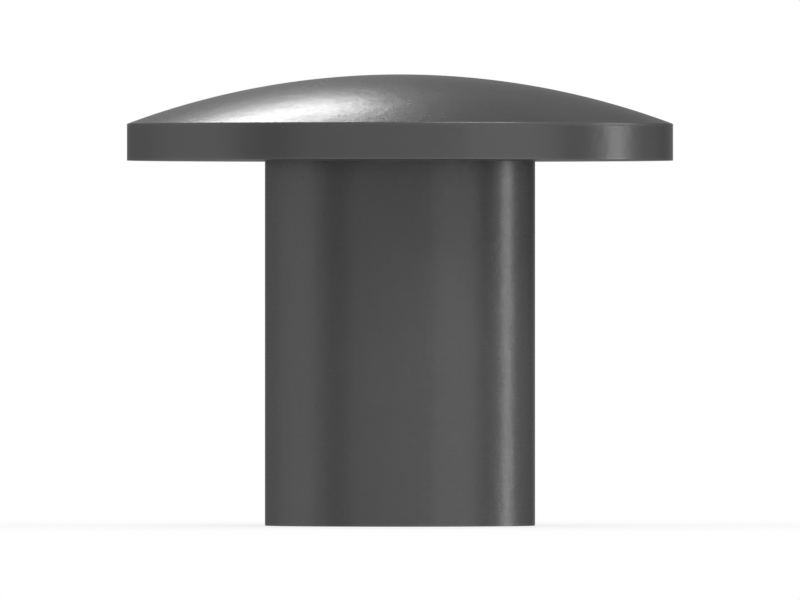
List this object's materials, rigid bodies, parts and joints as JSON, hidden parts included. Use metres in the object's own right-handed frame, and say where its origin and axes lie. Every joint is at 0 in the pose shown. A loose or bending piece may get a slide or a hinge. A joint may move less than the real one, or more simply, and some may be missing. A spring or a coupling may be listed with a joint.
{
  "type": "semi-tubular rivet",
  "caption": "Truss-head semi-tubular rivet: a low domed head with a straight rim on a plain shank, and a blind hole in the tail whose thin wall curls outwards to clinch the joint.",
  "frame": {"origin": "on the rivet's axis, in the plane of the flat bearing face under the head", "axes": "+Z along the axis, out through the domed head; the shank runs down -Z to the tail. X and Y are any two directions square to it, because the rivet is round"},
  "size_m": [0.0094, 0.0094, 0.0078],
  "materials": {
    "steel": "satin, darkened"
  },
  "bodies": {
    "root": {"rivet": "steel"}
  },
  "joints": []
}
